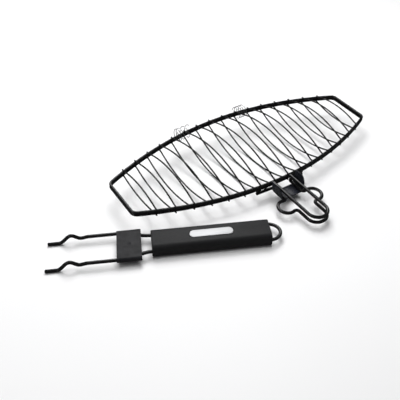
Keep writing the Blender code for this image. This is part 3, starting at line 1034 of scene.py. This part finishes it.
@dataclass
class Handle:
    """The bent rod, the moulded grip, the badge and the sliding lock plate."""

    rod_radius: float = 2.1 * MM
    prong_half_gap: float = 21.4 * MM
    grip_half_gap: float = 13.3 * MM
    prong_flat: float = 13.0 * MM
    hump: Point2 = (28.0 * MM, 12.3 * MM)
    valley: Point2 = (39.0 * MM, 7.3 * MM)
    straight: float = 48.0 * MM
    jog: Point2 = (84.0 * MM, 119.0 * MM)
    loop_end: float = 270.6 * MM
    grip: Point2 = (119.4 * MM, 258.0 * MM)
    grip_half_width: float = 16.4 * MM
    grip_height: float = 17.3 * MM
    grip_corner: float = 6.0 * MM
    grip_rim: float = 1.2 * MM
    badge_at: float = 189.0 * MM
    badge: Point2 = (51.0 * MM, 11.5 * MM)
    badge_thickness: float = 0.8 * MM
    pocket: float = 0.6 * MM
    plate: Point2 = (79.8 * MM, 108.0 * MM)
    plate_sheet: float = 0.9 * MM
    dimple_radius: float = 2.6 * MM
    dimple_depth: float = 0.75 * MM

    @property
    def turn(self) -> float:
        """The handle's direction in degrees, from the lock plate's slide."""
        slide = next(joint for joint in frame["joints"] if joint["name"] == "lock_slide")
        return math.degrees(math.atan2(-slide["axis"][1], -slide["axis"][0]))

    @property
    def place(self) -> Matrix:
        """The handle's frame in the row frame, found from the grip's box."""
        low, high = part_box("grip")
        middle = (low + high) / 2
        turn = Matrix.Rotation(math.radians(self.turn), 4, "Z")
        back = Matrix.Translation((-(self.grip[0] + self.grip[1]) / 2, 0.0, 0.0))
        return Matrix.Translation((middle.x, middle.y, low.z)) @ turn @ back

    def rod_path(self) -> list[Vector]:
        """The rod, from one prong tip round the hanging loop to the other."""
        height = self.grip_height / 2
        knots = [
            (self.prong_flat, self.rod_radius), self.hump, self.valley, (self.straight, height)
        ]
        profile = run((0.0, self.rod_radius), knots[0], 4)
        for (u0, z0), (u1, z1) in zip(knots, knots[1:]):
            for i in range(14):
                profile.append((u0 + (u1 - u0) * i / 14, z0 + (z1 - z0) * smoothstep(i / 14)))
        profile += run((self.straight, height), (self.jog[0], height), 8)
        half = [Vector((u, self.prong_half_gap, z)) for u, z in profile]
        for i in range(25):
            narrowing = (self.grip_half_gap - self.prong_half_gap) * smoothstep(i / 24)
            side = self.prong_half_gap + narrowing
            half.append(Vector((self.jog[0] + (self.jog[1] - self.jog[0]) * i / 24, side, height)))
        centre = self.loop_end - self.grip_half_gap
        leg_start = (self.jog[1] + 5 * MM, self.grip_half_gap)
        half += lifted(run(leg_start, (centre, self.grip_half_gap), 10), height)
        loop = lifted(arc((centre, 0.0), self.grip_half_gap, 90, -90, 40), height)
        return half + loop + [Vector((p.x, -p.y, p.z)) for p in reversed(half)]

    def stadium(self, margin: float, low: float, high: float) -> bmesh.types.BMesh:
        """A block with half-round ends, where the badge sits.

        Args:
            margin: How much larger it is than the badge, all round.
            low: The height of its underside.
            high: The height of its top.

        Returns:
            A closed mesh.
        """
        radius = self.badge[1] / 2 + margin
        reach = (self.badge[0] - self.badge[1]) / 2
        block = bmesh.new()
        around = Matrix.Translation((self.badge_at, 0.0, low))
        made = bmesh.ops.create_circle(block, cap_ends=True, radius=radius, segments=48, matrix=around)
        for vert in made["verts"]:
            offset = vert.co.x - self.badge_at
            if abs(offset) > NEAR_ZERO:
                vert.co.x += math.copysign(reach, offset)
        grown = bmesh.ops.extrude_face_region(block, geom=list(block.faces))["geom"]
        top = [item for item in grown if isinstance(item, bmesh.types.BMVert)]
        bmesh.ops.translate(block, verts=top, vec=(0.0, 0.0, high - low))
        bmesh.ops.recalc_face_normals(block, faces=block.faces)
        return block

    def grip_block(self) -> bmesh.types.BMesh:
        """The grip's outer form: a long block with rolled sides and broken ends."""
        length = self.grip[1] - self.grip[0]
        size = Matrix.Diagonal((length, 2 * self.grip_half_width, self.grip_height, 1.0))
        middle = Matrix.Translation((self.grip[0] + length / 2, 0.0, self.grip_height / 2))
        block = bmesh.new()
        bmesh.ops.create_cube(block, size=1.0, matrix=middle @ size)
        long_edges = [e for e in block.edges if abs((e.verts[0].co - e.verts[1].co).x) > MM]
        bmesh.ops.bevel(
            block, geom=long_edges, offset=self.grip_corner, segments=12, profile=0.5,
            affect="EDGES", material=-1,
        )
        ends = [
            edge for edge in block.edges
            if abs((edge.verts[0].co - edge.verts[1].co).x) < NEAR_ZERO
            and edge.calc_face_angle(0.0) > SHARP_ANGLE
        ]
        bmesh.ops.bevel(
            block, geom=ends, offset=self.grip_rim, segments=4, profile=0.5,
            affect="EDGES", material=-1,
        )
        return block

    def plate_shape(self) -> bmesh.types.BMesh:
        """The lock plate: a flat top, both edges curled round the prongs, a thumb dimple."""
        curl_radius = self.rod_radius + GAP + self.plate_sheet / 2
        middle = self.grip_height / 2
        curl = arc((self.prong_half_gap, middle), curl_radius, -90, 90, 18)
        flat = run(curl[-1], (-self.prong_half_gap, curl[-1][1]), 44)[1:]
        row = curl + flat + [(-v, z) for v, z in reversed(curl)]
        sheet = bmesh.new()
        verts = [sheet.verts.new((self.plate[0], v, z)) for v, z in row]
        line = [sheet.edges.new(pair) for pair in zip(verts, verts[1:])]
        steps = 30
        for _ in range(steps):
            fresh, line = grow_row(sheet, line)
            shift = ((self.plate[1] - self.plate[0]) / steps, 0.0, 0.0)
            bmesh.ops.translate(sheet, verts=fresh, vec=shift)
        centre = Vector((sum(self.plate) / 2, 0.0, curl[-1][1]))
        for vert in sheet.verts:
            reach = (vert.co - centre).length / self.dimple_radius
            if reach < 1.0:
                vert.co.z -= self.dimple_depth * (1 - smoothstep(reach))
        finish_sheet(sheet, self.plate_sheet, 0.25 * MM)
        return sheet

    def build(self, finishes: "Finishes") -> None:
        """Models the handle's four pieces."""
        place = self.place
        rod = Bar(self.rod_radius, 26)
        publish(
            "handle_rod", rod.sweep(self.rod_path()), place, finishes.rod,
            Body.HANDLE, "handle_wire",
        )
        tunnel = Bar(self.rod_radius + GAP / 2, 26).sweep(self.rod_path())
        pocket = self.stadium(GAP, self.grip_height - self.pocket, self.grip_height + MM)
        grip = carve(self.grip_block(), [tunnel, pocket])
        publish("grip_body", grip, place, finishes.grip, Body.HANDLE, "grip", 30.0)
        floor = self.grip_height - self.pocket
        badge = self.stadium(0.0, floor, floor + GAP + self.badge_thickness)
        rim = [
            edge for edge in badge.edges
            if edge.calc_face_angle(0.0) > SHARP_ANGLE and edge.verts[0].co.z > floor + MM / 2
        ]
        bmesh.ops.bevel(
            badge, geom=rim, offset=0.35 * MM, segments=4, profile=0.5, affect="EDGES", material=-1
        )
        publish("badge_plate", badge, place, finishes.badge, Body.HANDLE, "badge", 30.0)
        publish(
            "lock_plate_sheet", self.plate_shape(), place, finishes.plate,
            Body.LOCK, "lock_plate",
        )


# ---------------------------------------------------------------- finishes in use, and the studio


@dataclass
class Finishes:
    """Every material of the set, made once."""

    turn: float

    def __post_init__(self) -> None:
        """Makes the materials."""
        self.frame = Enamel("frame_enamel_gloss").make()
        self.wire = Enamel("cross_wire_enamel_gloss", gloss=0.2, dull=0.34, peel=0.02 * MM).make()
        self.rod = Enamel("rod_enamel_gloss", gloss=0.13, dull=0.24).make()
        self.bracket = Enamel(
            "bracket_enamel_blue_black", tone=(0.008, 0.009, 0.013), gloss=0.22, dull=0.36
        ).make()
        self.plate = Enamel(
            "lock_plate_satin", tone=(0.008, 0.008, 0.009), gloss=0.42, dull=0.52, shine=0.14
        ).make()
        self.chrome = Plating().make()
        self.grip = MouldedGrip("grip_charcoal", self.turn).make()
        self.badge = BrushedBadge("badge_brushed", self.turn).make()


@dataclass
class Studio:
    """The pale floor, the soft light and the camera.

    Attributes:
        shape: The basket, whose middle the camera's place is measured from.
        azimuth: The camera's direction from its target, in degrees from +X.
        elevation: Its height above the horizon, in degrees.
        distance: Its distance from the target.
        target: The target's place from the basket's middle, on the floor.
        lens: The focal length in millimetres, for a 36 mm sensor.
        shift: How far the frame is shifted, in frame widths.
    """

    shape: BasketShape
    azimuth: float = 235.70
    elevation: float = 37.48
    distance: float = 0.80224
    target: Point2 = (-52.63 * MM, 7.46 * MM)
    lens: float = 53.517
    shift: Point2 = (-0.0277, -0.0675)

    def floor(self) -> None:
        """A wide pale floor under everything."""
        sheet = bmesh.new()
        bmesh.ops.create_grid(sheet, x_segments=8, y_segments=8, size=6.0)
        mesh = bpy.data.meshes.new("studio_floor")
        sheet.to_mesh(mesh)
        sheet.free()
        mesh.materials.append(Backdrop().make())
        floor = bpy.data.objects.new("studio_floor", mesh)
        floor.location.z = CAD_BOX[0].z - 0.05 * MM
        floor.visible_glossy = False
        bpy.context.scene.collection.objects.link(floor)

    def softbox(self, name: str, spot: Vector, size: float, power: float, mirrored: bool) -> None:
        """A square soft light that faces the middle of the set.

        Args:
            name: The light's name.
            spot: Where it stands.
            size: The length of its side.
            power: Its power in watts.
            mirrored: Whether glossy surfaces show it.
        """
        data = bpy.data.lights.new(name, "AREA")
        data.shape = "SQUARE"
        data.size = size
        data.energy = power
        lamp = bpy.data.objects.new(name, data)
        lamp.location = spot
        lamp.visible_glossy = mirrored
        lamp.rotation_euler = (-spot).to_track_quat("-Z", "Y").to_euler()
        bpy.context.scene.collection.objects.link(lamp)

    def camera(self) -> None:
        """The camera, at the viewing angle."""
        azimuth, elevation = math.radians(self.azimuth), math.radians(self.elevation)
        back = Vector((
            math.cos(elevation) * math.cos(azimuth),
            math.cos(elevation) * math.sin(azimuth),
            math.sin(elevation),
        ))
        data = bpy.data.cameras.new("camera")
        data.sensor_width = 36.0
        data.lens = self.lens
        data.shift_x, data.shift_y = self.shift
        data.clip_start, data.clip_end = 0.01, 50.0
        camera = bpy.data.objects.new("camera", data)
        middle = self.shape.place.translation
        aim = Vector((middle.x + self.target[0], middle.y + self.target[1], 0.0))
        camera.location = aim + back * self.distance
        camera.rotation_euler = (-back).to_track_quat("-Z", "Y").to_euler()
        bpy.context.scene.collection.objects.link(camera)
        bpy.context.scene.camera = camera

    def build(self) -> None:
        """Lights the set and places the camera."""
        self.floor()
        world = bpy.data.worlds.new("pale_studio")
        world.use_nodes = True
        sky = world.node_tree.nodes["Background"]
        sky.inputs["Color"].default_value = (1.0, 1.0, 1.0, 1.0)
        sky.inputs["Strength"].default_value = 0.1
        bpy.context.scene.world = world
        self.softbox("overhead_softbox", Vector((0.1, 0.2, 1.2)), 1.1, 12.0, False)
        self.softbox("back_softbox", Vector((0.35, 0.75, 1.1)), 0.8, 12.0, True)
        self.softbox("side_softbox", Vector((-1.2, 0.1, 0.9)), 0.5, 3.0, True)
        bpy.context.scene.view_settings.view_transform = "Standard"
        self.camera()
        LOG.info("studio: floor, three softboxes, camera")


def main() -> None:
    """Builds every sub-assembly, then the studio."""
    shape = BasketShape()
    handle = Handle()
    finishes = Finishes(handle.turn)
    bottom = WireHalf(shape, "bottom", Body.BOTTOM, -1, 0.6 * MM, 18.0 * MM)
    lid = WireHalf(shape, "lid", Body.LID, 1, 2.9 * MM, 17.2 * MM)
    for half in (bottom, lid):
        half.build(finishes.frame, finishes.wire)
    bails = Bails(shape)
    bails.build(finishes.rod)
    LatchBracket(shape, bails).build(finishes.bracket, finishes.rod)
    coils = (
        HingeCoil(
            "hinge_coil_left", -66.2 * MM, (3.5 * MM, 3.6 * MM, 8.0 * MM, 7.1 * MM),
            (0.2 * MM, 1.35 * MM), 104.0,
        ),
        HingeCoil("hinge_coil_right", 36.2 * MM, (4.0 * MM,) * 4, (0.5 * MM, 1.7 * MM), 0.0),
    )
    for coil in coils:
        coil.build(shape, finishes.chrome)
    handle.build(finishes)
    Studio(shape).build()


if __name__ == "__main__":
    logging.basicConfig(level=logging.INFO, format="%(message)s")
    main()
